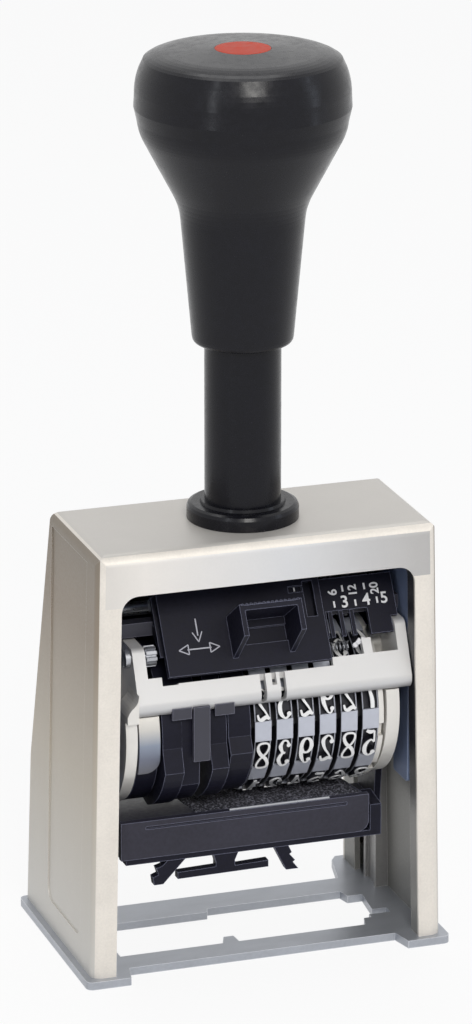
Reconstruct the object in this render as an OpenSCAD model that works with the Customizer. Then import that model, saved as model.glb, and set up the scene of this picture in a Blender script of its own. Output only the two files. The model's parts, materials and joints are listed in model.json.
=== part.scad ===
// Self-inking hand numbering machine.
// Pressing the handle drives a carriage with six type wheels down through the open foot of the
// housing, while the ink pad under the wheels swings out of the way to the rear.
// Millimetres, +Z up, front towards -Y. Origin: centre of the footprint, on the table.
// Inside the modules, y is measured from the press axis and the last step moves it to press_y.

/* [Type wheels] */
// Diameter that the type faces reach
wheel_d = 30; // [28.5:0.1:30.6]
// Distance from one wheel to the next
wheel_pitch = 3.86; // [3.7:0.02:4.1]
// Width of a type face
wheel_w = 2.9; // [2.5:0.05:3.0]
// Depth from the type face to the floor of a type cell
type_depth = 1.2; // [0.8:0.1:1.6]
// Height of a digit along the rim
type_h = 5.5; // [4.5:0.1:6]
// Diameter of the wheel shaft
shaft_d = 5; // [4:0.1:6]
// Left end of the wheel stack: centre of the first wheel
first_wheel_x = -0.2; // [-1:0.1:1]

/* [Stroke] */
// Travel of the handle and the carriage
stroke = 26.5; // [24:0.5:27]
// Gap left between the type and the table when pressed
type_gap = 0.1; // [0.05:0.05:0.5]
// Buffer between grip and collar when pressed
grip_buffer = 1.5; // [1:0.1:4]

/* [Housing] */
// Press axis to the front face
front_depth = 14; // [13.6:0.1:15]
// Depth of the housing at its top
top_depth = 27.1; // [26:0.1:29]
// Wheel axis to the housing's top face
head_room = 34.7; // [34.4:0.1:38]
// Height of the bend in the rear wall
knee_z = 28.7; // [24:0.1:34]
// Room behind the wheels at the bend
rear_room = 5.4; // [5:0.1:8]
// Step of the rear wall between bend and foot
rear_splay = 1; // [0.5:0.1:2]
// How far each side wall leans in towards the top
side_taper = 1.65; // [1:0.05:2]
// Sheet thickness of the housing
wall = 1.2; // [1:0.05:1.4]
// Outer edge radius
edge_r = 2; // [1:0.1:2.5]
// Width of a front leg beside the window
leg_w = 4.2; // [4:0.1:4.6]
// Height of the header above the window
header_h = 7.3; // [6:0.1:7.6]
// Corner radius of the window
window_r = 3; // [2:0.1:4]
// Depth of the folded window edge
jamb_depth = 3.7; // [2.5:0.1:3.8]
// Top of the rear window
rear_window_z = 38; // [36:0.5:42]

/* [Foot] */
// Thickness of the foot plate
plate_t = 1.4; // [1.2:0.1:1.6]
// How far the foot plate stands out all round
plate_lip = 1.2; // [0.8:0.1:2]
// Depth of the front beam of the foot plate
front_beam = 5.2; // [4:0.1:5.6]
// Depth of the rear beam of the foot plate
rear_beam = 6; // [4:0.1:8]

/* [Handle] */
// Diameter of the fixed guide column
column_d = 12.92; // [12:0.02:13.4]
// Diameter of the collar under the column
collar_d = 19; // [17:0.1:22]
// Height of the collar
collar_h = 2.7; // [2:0.1:4]
// Diameter of the press rod
rod_d = 6; // [5:0.1:6.4]
// Diameter of the grip at its lower end
grip_end_d = 17.1; // [16.6:0.1:19]
// Diameter of the grip below the knob
waist_d = 21.2; // [20:0.1:23]
// Diameter of the knob
knob_d = 36.1; // [33:0.1:38]
// Height of the whole grip
grip_h = 50; // [48:0.5:56]
// Diameter of the coloured inlay
inlay_d = 8.8; // [6:0.1:12]

/* [Frame] */
// Thickness of the yoke sheet
yoke_t = 1.2; // [1:0.05:1.25]
// Room between the yoke and the side walls at the top
side_room = 1.05; // [0.95:0.05:1.4]
// Thickness of the right side disc
disc_t = 2.3; // [1.8:0.1:2.6]
// Thickness of the left side disc
left_disc_t = 2; // [1.6:0.1:2.2]
// Thickness of the front bracket
bracket_t = 1.2; // [1:0.05:1.3]
// Height of the bracket's lower edge over the wheel axis
bracket_rise = 4.9; // [4.8:0.1:5.3]
// Lean of the bracket's face from the vertical
bracket_lean = 24; // [20:1:26]

/* [Selector] */
// Lean of the selector cover from the vertical
cover_tilt = 32; // [31:0.5:34]
// Width of the selector cover
cover_w = 28.8; // [26:0.1:29]
// Length of the selector cover along its slope
cover_l = 15.2; // [14.5:0.1:15.4]
// Thickness of the selector cover
cover_t = 1.2; // [1:0.05:1.3]
// Height of the finger grip over the cover
hood_h = 8; // [6:0.1:9]
// Width of the finger grip
hood_w = 11; // [9:0.1:12]

/* [Ink pad] */
// Tilt of the pad's face, front edge up
pad_tilt = 7.3; // [6:0.1:8]
// Thickness of the pad
pad_t = 2.2; // [1.6:0.1:2.4]
// Length of the inked part of the pad
pad_l = 29.4; // [26:0.1:30]
// Gap between type faces and pad
pad_gap = 0.3; // [0.3:0.05:0.6]
// Height of the cassette front
cassette_h = 6.7; // [6:0.1:7]

/* [Hidden] */
$fn = 64;

wheel_count = 6;
digits = 10;
run_fit = 0.05;     // radial play of a running fit
seat_fit = 0.02;    // radial play of a fixed pin in its hole
side_gap = 0.3;     // smallest gap between parts that pass each other
run_gap = 0.4;      // gap between parts that turn side by side
over = 1;           // how far a cutter reaches past what it cuts
wide = 100;         // cutters that go right through

// Heights
axis_z = stroke + wheel_d / 2 + type_gap;
housing_h = axis_z + head_room;
collar_top = housing_h + collar_h;
grip_z = collar_top + stroke + grip_buffer;
window_top = housing_h - header_h;

// Depths, measured from the press axis
front_y = -front_depth;
wheel_front_gap = 2;
axis_y = front_y + wheel_front_gap + wheel_d / 2;
knee_y = axis_y + wheel_d / 2 + rear_room;
rear_y = knee_y + rear_splay;
rear_top_y = front_y + top_depth;
foot_front = min(front_y - plate_lip, -knob_d / 2);
foot_rear = rear_y + plate_lip;
press_y = -(foot_front + foot_rear) / 2;

// The stack along the wheel axis, from left to right
function wheel_x(i) = first_wheel_x + (i - 1) * wheel_pitch;
ratchet_t = min(0.5, wheel_pitch - wheel_w - 0.46);
ring_t = 0.85;
arm_t = 1.2;
left_arm_t = 0.9;
right_bracket_t = 1.9;
left_bracket_t = 2.2;
yoke_gap = 0.8;
ring_x = wheel_x(wheel_count) + wheel_w / 2;
disc_x = ring_x + ring_t + run_gap;
disc_end = disc_x + disc_t;
right_arm_x = disc_end + side_gap;
bracket_right = disc_end + right_bracket_t;
half_in = right_arm_x + arm_t + yoke_gap;
left_arm_x = -half_in + yoke_gap - 0.2;
left_disc_x = left_arm_x + left_arm_t + side_gap;
left_disc_end = left_disc_x + left_disc_t;
cam_gap = 0.3;
cam3_w = 4;
cam2_w = 3;
cam1_w = 3.4;
narrow_cam_w = 3.25;
finger_w = 2.9;
cam3_end = wheel_x(1) - wheel_w / 2 - ratchet_t - 0.45;
cam3_x = cam3_end - cam3_w;
cam2_end = cam3_x - cam_gap;
cam2_x = cam2_end - cam2_w;
finger_end = cam2_x - cam_gap;
narrow_cam_end = finger_end - 1.4;
cam1_end = narrow_cam_end - narrow_cam_w;
cam1_x = cam1_end - cam1_w;
drum_x = left_disc_end + side_gap;
drum_end = cam1_x - run_gap;

// Housing widths follow the yoke inside it
yoke_half = half_in + yoke_t;
top_half = yoke_half + side_room + wall;
foot_half = top_half + side_taper;
function side_half(z) =
    foot_half - side_taper * (z - plate_t) / (housing_h - plate_t);

// Handle
column_r = column_d / 2;
rod_r = rod_d / 2;
nut_h = 2.5;
neck_r = column_r - 0.26;
neck_z = housing_h - wall - nut_h;
chamber_r = column_r - 1.26;
chamber_z = neck_z + 2.5;
column_over = 11;
column_top = grip_z + column_over;
grip_bore_top = column_top + stroke + 1.5;
rod_top = grip_z + grip_h - 4;

// Yoke
yoke_top = neck_z - 0.6;
yoke_front = front_y + jamb_depth + 0.5;
yoke_strip = 6.8;
yoke_low = axis_z - 13.1;
yoke_rear = axis_y + 5;
shoe_y = 12.5;
shoe_half = 1.9;

// Front bracket and the sloping selector plane
lip_r = 2;
lip = [front_y + 3.2, axis_z + bracket_rise + lip_r];
arm_top = axis_z + wheel_d / 2 + 1.2;
cover_y = front_y + 1.5;
cover_z = axis_z + 11.9;
plate_n = -(cover_t + 0.4);
cover_x = finger_end - finger_w - 4;
scale_t = 0.8;
rail_n = plate_n - scale_t;
rail_t = 1.2;
rail_w = 2;
scale_top = 14.2;

// Tie bar, pawl shaft and detent bar, from the wheel axis
tie_at = [0.3, wheel_d / 2 + 7.6];
tie_r = 1.6;
pawl_at = [1.5, wheel_d / 2 + 3.6];
pawl_r = 1.2;
detent_at = [-6.3, wheel_d / 2 + 3];
detent_w = 2.4;
pinion_at = [-10.8, wheel_d / 2 - 0.6];
pinion_r = 1.8;
screw_at = [-3.4, 9.2];
screw_r = 1;
drum_r = wheel_d / 2 + 0.1;

// Ink pad
pad_r = wheel_d / 2 + pad_gap;
pad_front = -12.2;
pad_rear = 7;
pad_x = cam2_end - 4.4;
cassette_y = front_y + 1.5;
holder_x = left_arm_x + left_arm_t;
cassette_x = holder_x + 0.1;
cassette_end = pad_x + pad_l + 0.4;
cassette_z = axis_z - 20;
holder_t = 1;
holder_end = cassette_end + 2.3;
cassette_rear = axis_y + 6.4;

foam = [0.2, 0.2, 0.22];
black = [0.16, 0.16, 0.19];
dark = [0.23, 0.23, 0.27];
nickel = [0.78, 0.76, 0.72];
steel = [0.72, 0.74, 0.78];
blued = [0.33, 0.38, 0.48];
bright = [0.86, 0.85, 0.82];
red = [0.75, 0.2, 0.1];

// ---------------------------------------------------------------- helpers

function unit(v) = v / norm(v);
function turn(p, a) = [p.x * cos(a) - p.y * sin(a), p.x * sin(a) + p.y * cos(a)];
function bend(a, b, c, n) =
    [for (i = [0:n]) let (t = i / n) (1 - t) * (1 - t) * a + 2 * t * (1 - t) * b + t * t * c];

// Convex outline whose corners are true arcs; a radius of 0 keeps the corner sharp
module rounded(points, radii) {
    n = len(points);
    corners = [for (i = [0:n - 1])
        let (p = points[i], a = unit(points[(i + n - 1) % n] - p), b = unit(points[(i + 1) % n] - p),
             half = acos(a * b) / 2, r = radii[i])
        r == 0 ? [p, p, p] : [p + a * r / tan(half), p + unit(a + b) * r / sin(half), p + b * r / tan(half)]];
    polygon([for (i = [0:n - 1]) each (radii[i] == 0 ? [points[i]] : corners[i])]);
    for (i = [0:n - 1]) if (radii[i] > 0) translate(corners[i][1]) circle(radii[i]);
}

// Points of a corner rounded to radius r: a and b are the directions away from it
function arc_points(p, a, b, r, n) =
    let (half = acos(a * b) / 2, c = p + unit(a + b) * r / sin(half), sweep = 180 - 2 * half,
         v0 = p + a * r / tan(half) - c, v1 = p + b * r / tan(half) - c)
    [for (i = [0:n]) let (t = i / n) c + (v0 * sin((1 - t) * sweep) + v1 * sin(t * sweep)) / sin(sweep)];

// Outline whose rounded corners are short straight steps
module stepped(points, radii, n = 10) {
    count = len(points);
    polygon([for (i = [0:count - 1])
        let (p = points[i], a = unit(points[(i + count - 1) % count] - p), b = unit(points[(i + 1) % count] - p))
        each (radii[i] == 0 ? [p] : arc_points(p, a, b, radii[i], n))]);
}

// Extrudes an outline drawn in (y, z) from x0 to x1
module across(x0, x1) {
    translate([x0, 0, 0]) rotate([90, 0, 90]) linear_extrude(x1 - x0) children();
}

// Extrudes an outline drawn in (x, z) from y0 to y1
module through(y0, y1) {
    translate([0, y1, 0]) rotate([90, 0, 0]) linear_extrude(y1 - y0) children();
}

module block(a, b) {
    translate(a) cube(b - a);
}

// Round bar along X about a point of the (y, z) plane
module bar(x0, x1, r, at = [0, 0]) {
    translate([x0, at.x, at.y]) rotate([0, 90, 0]) cylinder(h = x1 - x0, r = r);
}

module at_press() {
    translate([0, press_y, 0]) children();
}

module at_axis() {
    translate([0, press_y + axis_y, axis_z]) children();
}

// Local x stays x, local y runs up the slope of the cover, local z stands off its face
module on_slope() {
    translate([0, press_y + cover_y, cover_z]) rotate([90 - cover_tilt, 0, 0]) children();
}

// Round tube along a list of points: 6 sides, closed ends
module tube(path, r) {
    sides = 6;
    n = len(path);
    ring = [for (i = [0:n - 1])
        let (t = unit(path[min(i + 1, n - 1)] - path[max(i - 1, 0)]),
             u = unit(cross(t, abs(t.z) < 0.9 ? [0, 0, 1] : [1, 0, 0])), v = cross(t, u))
        for (k = [0:sides - 1]) path[i] + r * (cos(k * 360 / sides) * u + sin(k * 360 / sides) * v)];
    sidewalls = [for (i = [0:n - 2], k = [0:sides - 1])
        let (a = i * sides + k, b = i * sides + (k + 1) % sides)
        each [[a, b, a + sides], [b, b + sides, a + sides]]];
    ends = [for (k = [1:sides - 2]) each
        [[0, k + 1, k], [(n - 1) * sides, (n - 1) * sides + k, (n - 1) * sides + k + 1]]];
    polyhedron(points = ring, faces = concat(sidewalls, ends), convexity = 10);
}

// ---------------------------------------------------------------- housing

// Body of the housing drawn in by inset; low is where it ends below
module housing_body(inset, low, r) {
    intersection() {
        across(-wide, wide)
            rounded([[front_y + inset, low], [rear_y - inset, low], [knee_y - inset, knee_z],
                     [rear_top_y - inset, housing_h - inset], [front_y + inset, housing_h - inset]],
                    [0, 0, 12, r, r]);
        through(-wide, wide)
            rounded([[-side_half(low) + inset, low], [side_half(low) - inset, low],
                     [top_half - inset, housing_h - inset], [-top_half + inset, housing_h - inset]],
                    [0, 0, r, r]);
    }
}

module cavity() {
    housing_body(wall, plate_t - over, max(edge_r - wall, 0.4));
}

// Window outline in (x, z), larger all round by grow
module window(grow, top) {
    stepped([[-side_half(plate_t) + leg_w - grow, plate_t - over],
             [side_half(plate_t) - leg_w + grow, plate_t - over],
             [side_half(top) - leg_w + grow, top + grow],
             [-side_half(top) + leg_w - grow, top + grow]],
            [0, 0, window_r + grow, window_r + grow]);
}

// Rounds one upright front edge
module edge_cut(side) {
    lean = atan(side_taper / (housing_h - plate_t));
    translate([side * foot_half, front_y, plate_t]) rotate([0, -side * lean, 0])
        translate([0, 0, -over]) linear_extrude(housing_h + 2 * over)
            difference() {
                translate([side > 0 ? -edge_r : -over, -over]) square(edge_r + over);
                translate([-side * edge_r, edge_r]) circle(edge_r);
            }
}

rivet_r = 0.6;
lug = 2.6;
rivet_x = foot_half - wall - 1;
rivet_front = front_y + wall + lug / 2;
rivet_rear = rear_y - wall - lug / 2;

module housing_shell() color(nickel) at_press() {
    jamb_t = 1;
    rear_jamb = 5;
    panel_depth = 0.25;
    panel = [[front_y + 7.3, plate_t + 4.8], [rear_top_y - 0.7, plate_t + 4.8],
             [rear_top_y - 0.7, housing_h - 2.6], [front_y + 6.2, housing_h - 2.6]];
    difference() {
        union() {
            difference() {
                housing_body(0, plate_t, edge_r);
                cavity();
            }
            // folded window edges, front and rear
            intersection() {
                cavity();
                difference() {
                    union() {
                        through(front_y, front_y + jamb_depth) window(jamb_t, window_top);
                        through(knee_y - rear_jamb, rear_y) window(jamb_t, rear_window_z);
                    }
                    translate([0, 0, plate_t - 2 * over]) block([-wide, -wide, 0], [wide, wide, 2 * over]);
                }
            }
            // lugs for the rivets of the foot plate
            for (x = [-rivet_x, rivet_x], y = [rivet_front, rivet_rear])
                intersection() {
                    cavity();
                    block([x - lug / 2, y - lug / 2, plate_t], [x + lug / 2, y + lug / 2, plate_t + 4]);
                }
        }
        through(-wide, front_y + jamb_depth + over) window(0, window_top);
        through(knee_y - rear_jamb - over, wide) window(0, rear_window_z);
        translate([0, 0, housing_h - wall - over])
            cylinder(h = wall + 2 * over, r = neck_r + seat_fit);
        for (x = [-rivet_x, rivet_x], y = [rivet_front, rivet_rear])
            translate([x, y, 0]) cylinder(h = plate_t + 3, r = rivet_r + seat_fit);
        edge_cut(-1);
        edge_cut(1);
        // shallow panel pressed into each side
        difference() {
            across(-wide, wide) stepped(panel, [2.5, 2.5, 0, 0]);
            housing_body(panel_depth, plate_t - over, edge_r);
        }
    }
}

module base_plate() color(steel) at_press() {
    recess_y = front_y + 2.9;
    recess_half = foot_half - 7.5;
    inner_y = recess_y + front_beam;
    print_rear = axis_y + 6.7;
    rear_edge = print_rear + rear_beam;
    mouth = ring_x + ring_t;
    difference() {
        linear_extrude(plate_t) difference() {
            rounded([[-foot_half - plate_lip, front_y - plate_lip], [foot_half + plate_lip, front_y - plate_lip],
                     [foot_half + plate_lip, rear_y + plate_lip], [-foot_half - plate_lip, rear_y + plate_lip]],
                    [1.2, 1.2, 1.2, 1.2]);
            // front recess between the feet
            polygon([[-recess_half, recess_y], [recess_half, recess_y],
                     [recess_half + 1.2, front_y - plate_lip - over],
                     [-recess_half - 1.2, front_y - plate_lip - over]]);
            // rear recess
            polygon([[-recess_half + 0.9, rear_edge], [recess_half - 0.9, rear_edge],
                     [recess_half + 0.9, rear_y - 0.5], [recess_half + 2.8, rear_y + plate_lip + over],
                     [-recess_half - 2.8, rear_y + plate_lip + over], [-recess_half - 0.9, rear_y - 0.5]]);
            // print opening with its notches
            difference() {
                polygon([[-recess_half, inner_y], [mouth - 1, inner_y], [mouth - 0.2, axis_y - 6.1],
                         [mouth + 1.2, axis_y - 6.1], [mouth + 1.2, axis_y - 4.8],
                         [mouth + 5.1, axis_y - 4.8], [mouth + 5.1, axis_y - 2.8],
                         [mouth + 2.5, axis_y - 2.8], [mouth + 3.2, axis_y + 4.2],
                         [mouth + 0.5, axis_y + 4.2], [mouth - 0.1, print_rear],
                         [cam3_end - 0.6, print_rear], [cam3_end - 1.1, print_rear - 1.5],
                         [-recess_half + 2, print_rear - 1.5], [-recess_half, print_rear - 3.7]]);
                // small tab on the front beam
                polygon([[cam3_end - 3, inner_y - over], [cam3_end - 3, inner_y], [cam3_end - 2, inner_y + 2.6],
                         [cam3_end - 0.2, inner_y + 2.6], [cam3_end, inner_y], [cam3_end, inner_y - over]]);
            }
        }
        for (x = [-rivet_x, rivet_x], y = [rivet_front, rivet_rear])
            translate([x, y, -over]) cylinder(h = plate_t + 2 * over, r = rivet_r + seat_fit);
    }
}

module base_rivets() color(steel) at_press() {
    for (x = [-rivet_x, rivet_x], y = [rivet_front, rivet_rear])
        translate([x, y, 0.2]) cylinder(h = plate_t + 2.4, r = rivet_r);
}

module guide_column() color(black) at_press() {
    lip_r = column_r + 0.8;
    rotate_extrude()
        polygon([[rod_r + run_fit, neck_z], [neck_r, neck_z], [neck_r, housing_h],
                 [collar_d / 2, housing_h], [collar_d / 2, collar_top - 0.8],
                 [collar_d / 2 - 0.25, collar_top - 0.25],
                 [collar_d / 2 - 0.8, collar_top], [lip_r, collar_top], [lip_r - 0.15, collar_top + 0.5],
                 [column_r, collar_top + 0.5], [column_r, column_top], [chamber_r, column_top],
                 [chamber_r, chamber_z], [rod_r + run_fit, chamber_z]]);
}

module column_nut() color(steel) at_press() {
    translate([0, 0, housing_h - wall - nut_h])
        difference() {
            cylinder(h = nut_h, r = column_r + 2.6, $fn = 6);
            translate([0, 0, -over]) cylinder(h = nut_h + 2 * over, r = neck_r + seat_fit);
        }
}

// Upright channel on a side wall; the shoe of the yoke slides in it
module guide_channel(side) {
    channel_y = 3;
    slot_x = yoke_half + 0.9;
    difference() {
        intersection() {
            cavity();
            mirror([side < 0 ? 1 : 0, 0, 0])
                block([yoke_half + side_gap, shoe_y - channel_y, plate_t],
                      [foot_half + over, shoe_y + channel_y, axis_z + 14.4]);
        }
        mirror([side < 0 ? 1 : 0, 0, 0])
            block([yoke_half, shoe_y - shoe_half - side_gap, 0],
                  [slot_x, shoe_y + shoe_half + side_gap, housing_h]);
    }
}

module guide_channel_left() color(dark) at_press() guide_channel(-1);
module guide_channel_right() color(dark) at_press() guide_channel(1);

module return_spring() color(steel) at_press() {
    wire_r = 0.45;
    coil_r = (rod_r + chamber_r) / 2;
    turns = 14;
    steps = 8;
    low = chamber_z + wire_r + 0.1;
    high = grip_bore_top - wire_r - 0.1;
    path = [for (i = [0:turns * steps])
        [coil_r * cos(i * 360 / steps), coil_r * sin(i * 360 / steps),
         low + (high - low) * i / (turns * steps)]];
    echo(str("return_spring: least gap between turns ", coil_gap(path, steps, wire_r), " mm"));
    tube(path, wire_r);
}

// ---------------------------------------------------------------- handle

module handle_grip() color(black) at_press() {
    e = grip_end_d / 2;
    w = waist_d / 2;
    k = knob_d / 2;
    bore = column_r + 0.1;
    outer = concat(
        [[bore, 0]], bend([e - 1.1, 0], [e - 0.1, 0], [e, 1.1], 4),
        bend([w - 0.2, grip_h - 28.6], [w, grip_h - 26.4], [w + 1.2, grip_h - 24.2], 5),
        bend([k - 1.5, grip_h - 15.2], [k - 0.75, grip_h - 13.8], [k - 0.5, grip_h - 11.8], 5),
        [[k, grip_h - 9.6]],
        bend([k - 0.1, grip_h - 7.6], [k - 0.1, grip_h - 5.2], [k - 0.9, grip_h - 3.2], 5),
        bend([k - 1.6, grip_h - 1.7], [k - 2.8, grip_h - 0.75], [k - 5.6, grip_h - 0.5], 5),
        [[inlay_d / 2 + 0.3, grip_h], [inlay_d / 2 + 0.3, grip_h - 1.2], [rod_r + seat_fit, grip_h - 1.2],
         [rod_r + seat_fit, grip_bore_top - grip_z], [bore, grip_bore_top - grip_z]]);
    translate([0, 0, grip_z]) rotate_extrude($fn = 96) polygon(outer);
}

module handle_inlay() color(red) at_press() {
    translate([0, 0, grip_z + grip_h - 1.2]) rotate_extrude($fn = 96)
        polygon([[0, 0], [inlay_d / 2 + 0.25, 0], [inlay_d / 2 + 0.25, 1.2], [inlay_d / 2, 1.25], [0, 1.35]]);
}

module press_rod() color(steel) at_press() {
    rod_low = yoke_top - yoke_t - 2.4;
    translate([0, 0, rod_low]) cylinder(h = rod_top - rod_low, r = rod_r);
}

module rod_nut() color(steel) at_press() {
    height = 2.4;
    translate([0, 0, yoke_top - yoke_t - height])
        difference() {
            cylinder(h = height, r = rod_r + 1.5, $fn = 6);
            translate([0, 0, -over]) cylinder(h = height + 2 * over, r = rod_r + seat_fit);
        }
}

// ---------------------------------------------------------------- carriage frame

module yoke_side() {
    r = 2.5;
    strip_end = yoke_front + yoke_strip;
    difference() {
        union() {
            rounded([[yoke_front, yoke_low], [strip_end, yoke_low],
                     [strip_end, yoke_top], [yoke_front, yoke_top]], [0.6, 0.6, 0, 0]);
            rounded([[yoke_front, axis_z - 7.6], [yoke_rear, axis_z - 7.6], [yoke_rear, yoke_top - 0.6],
                     [yoke_front, yoke_top - 0.6]], [0, r, r, 0]);
            rounded([[yoke_rear - 4, axis_z + 4.4], [shoe_y + shoe_half, axis_z + 4.4],
                     [shoe_y + shoe_half, axis_z + 14.4], [yoke_rear - 4, axis_z + 14.4]], [0, 1, 1, 0]);
        }
        translate([axis_y, axis_z]) circle(shaft_d / 2 + seat_fit);
        translate([axis_y, axis_z] + tie_at) circle(tie_r + seat_fit);
        translate([axis_y, axis_z] + pawl_at) circle(pawl_r + seat_fit);
    }
}

module yoke() color(blued) at_press() {
    difference() {
        union() {
            across(-yoke_half, -half_in) yoke_side();
            across(half_in, yoke_half) yoke_side();
            block([-half_in - yoke_t / 2, yoke_front, yoke_top - yoke_t],
                  [half_in + yoke_t / 2, yoke_rear - 2.5, yoke_top]);
        }
        translate([0, 0, yoke_top - yoke_t - over]) cylinder(h = yoke_t + 2 * over, r = rod_r + seat_fit);
    }
}

module guide_shoe(side) {
    mirror([side < 0 ? 1 : 0, 0, 0])
        across(yoke_half, yoke_half + 0.6)
            rounded([[shoe_y - shoe_half, axis_z + 5], [shoe_y + shoe_half, axis_z + 5],
                     [shoe_y + shoe_half, axis_z + 13.8], [shoe_y - shoe_half, axis_z + 13.8]],
                    [0.8, 0.8, 0.8, 0.8]);
}

module guide_shoe_left() color(bright) at_press() guide_shoe(-1);
module guide_shoe_right() color(bright) at_press() guide_shoe(1);

// Side plate about the wheel axis: a disc, flat above and below, with an ear for the bracket screw
module side_disc() {
    flat = 13;
    rise = 0.9;
    difference() {
        union() {
            intersection() {
                translate([0, rise]) circle(wheel_d / 2, $fn = 96);
                translate([-wheel_d, -flat]) square([2 * wheel_d, flat + bracket_rise - 0.1]);
            }
            rounded([[screw_at.x - 2.4, 0], [screw_at.x + 5, 0], [screw_at.x + 5, screw_at.y + 2.4],
                     [screw_at.x - 2.4, screw_at.y + 2.4]], [0, 0, 2, 2]);
        }
        circle(shaft_d / 2 + seat_fit);
        translate(screw_at) circle(screw_r + seat_fit);
    }
}

// The left plate runs up to the bracket's arm in a soft step
module side_disc_left() color(bright) at_axis() {
    low = bracket_rise + 0.3;
    across(left_disc_x, left_disc_end) side_disc();
    through(-wheel_d / 2 - 0.9, -wheel_d / 2 + 5)
        polygon(concat(
            [[left_disc_end, low - 0.8], [left_disc_x, low - 0.8], [left_disc_x, low]],
            bend([left_disc_x, low + 0.4], [left_disc_x + 0.3, low + 1.5], [left_disc_x + 1.2, low + 2.2], 4),
            bend([left_disc_x + 1.2, low + 2.2], [left_disc_end, low + 2.9], [left_disc_end, low + 4.2], 4)));
}

module side_disc_right() color(bright) at_axis() across(disc_x, disc_end) side_disc();

// Point of the bracket's leaning face: s up the slope, n off the face
function bar_point(s, n = 0) =
    lip + (lip_r + n) * [-cos(bracket_lean), sin(bracket_lean)] + s * [sin(bracket_lean), cos(bracket_lean)];

// Rolled lower edge, from the leaning face round to just short of the type's reach
function lip_arc(r) =
    [for (i = [0:19]) let (a = 180 - bracket_lean + (70 + bracket_lean) * i / 19) lip + r * [cos(a), sin(a)]];
function backwards(v) = [for (i = [len(v) - 1:-1:0]) v[i]];

// Section of the bracket's sheet: leaning face with a rolled lower edge
module bar_section(height) {
    polygon(concat([bar_point(height)], lip_arc(lip_r), backwards(lip_arc(lip_r - bracket_t)),
                   [bar_point(height, -bracket_t)]));
}

// Outline of a bracket arm in (y, z)
module bracket_arm(bore_pinion) {
    top_s = (arm_top - bar_point(0).y) / cos(bracket_lean);
    low = lip.y - lip_r;
    foot = [axis_y - 2.2, low];
    rear = [axis_y + 1.2, arm_top];
    front = bar_point(top_s);
    rise = unit(rear - foot);
    difference() {
        polygon(concat(lip_arc(lip_r), bend(foot - [1, 0], foot, foot + rise, 4),
                       bend(rear - 2 * rise, rear, rear - [2, 0], 6),
                       bend(front + [0.9, 0], front, bar_point(top_s - 0.9), 5)));
        if (bore_pinion) translate([axis_y, axis_z] + pinion_at) circle(0.8 + run_fit);
        translate([axis_y, axis_z] + screw_at) circle(screw_r + seat_fit);
    }
}

module front_bracket() color(bright) at_press() {
    bar_h = 4.25;
    low_h = 2.85;
    tab = 2.7;
    tab_x = wheel_x(wheel_count) - 1.1;
    step_x = wheel_x(4) + 0.9;
    tongue = [sin(cover_tilt), cos(cover_tilt)];
    fork_x = wheel_x(1) - 0.75;
    inner_x = left_disc_end + left_bracket_t;
    difference() {
        union() {
            across(inner_x, inner_x + 2.4) bar_section(bar_h - 0.1);
            across(inner_x + 2.4, inner_x + 5.2) bar_section(low_h - 0.2);
            across(inner_x + 5.2, step_x) bar_section(low_h);
            across(step_x, disc_end) bar_section(bar_h);
            across(tab_x, tab_x + 1.6)
                polygon([bar_point(bar_h - 0.4), bar_point(bar_h), bar_point(bar_h) + tab * tongue,
                         bar_point(bar_h, -bracket_t) + tab * tongue, bar_point(bar_h, -bracket_t),
                         bar_point(bar_h - 0.4, -bracket_t)]);
            across(left_disc_end, inner_x) bracket_arm(true);
            across(disc_end, bracket_right) bracket_arm(false);
        }
        // fork slots in the middle
        for (x = [fork_x, fork_x + 3.5])
            through(front_y - over, lip.x)
                rounded([[x, lip.y - 1.3], [x + 1, lip.y - 1.3], [x + 1, lip.y + 8], [x, lip.y + 8]],
                        [0.45, 0.45, 0, 0]);
        through(front_y - over, lip.x) translate([fork_x + 2.1, lip.y + 1.5]) square([0.8, 8]);
    }
}

module bracket_screws() color(steel) at_axis() {
    head = 0.6;
    inner_x = left_disc_end + left_bracket_t;
    bar(left_disc_x, inner_x + head, screw_r, screw_at);
    bar(inner_x, inner_x + head, screw_r + 0.8, screw_at);
    bar(disc_x, bracket_right + 0.3, screw_r, screw_at);
}

// Bright band over the front of the drum, with one rounded lower corner
module drum_cover() color(bright) at_axis()
    intersection() {
        across(drum_x, drum_end)
            difference() {
                circle(drum_r);
                circle(drum_r - 1);
                translate([-5, -wheel_d]) square([2 * wheel_d, 2 * wheel_d]);
            }
        through(-wheel_d, 0)
            rounded([[drum_x, -5.3], [drum_end, -5.3],
                     [drum_end, bracket_rise - 0.1], [drum_x, bracket_rise - 0.1]], [0, 2.4, 0, 0]);
    }

module drum_core() color(black) at_axis()
    across(drum_x, drum_end)
        difference() {
            intersection() {
                circle(drum_r - 1);
                translate([-wheel_d, -wheel_d]) square([2 * wheel_d, wheel_d + bracket_rise - 0.1]);
            }
            circle(shaft_d / 2 + seat_fit);
        }

module wheel_shaft() color(steel) at_axis() bar(-yoke_half - 0.9, yoke_half + 0.9, shaft_d / 2);

module shaft_rings() color(steel) at_axis() {
    for (side = [-1, 1])
        mirror([side < 0 ? 1 : 0, 0, 0])
            difference() {
                bar(yoke_half, yoke_half + 0.6, shaft_d / 2 + 1);
                bar(yoke_half - over, yoke_half + 2, shaft_d / 2 + seat_fit);
            }
}

module tie_bar() color(steel) at_axis() bar(-yoke_half, yoke_half, tie_r, tie_at);

module pawl_shaft() color(steel) at_axis() bar(-yoke_half, yoke_half, pawl_r, pawl_at);

module detent_bar() color(dark) at_axis()
    block([-half_in, detent_at.x - detent_w / 2, detent_at.y - detent_w / 2],
          [half_in, detent_at.x + detent_w / 2, detent_at.y + detent_w / 2]);

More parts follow.
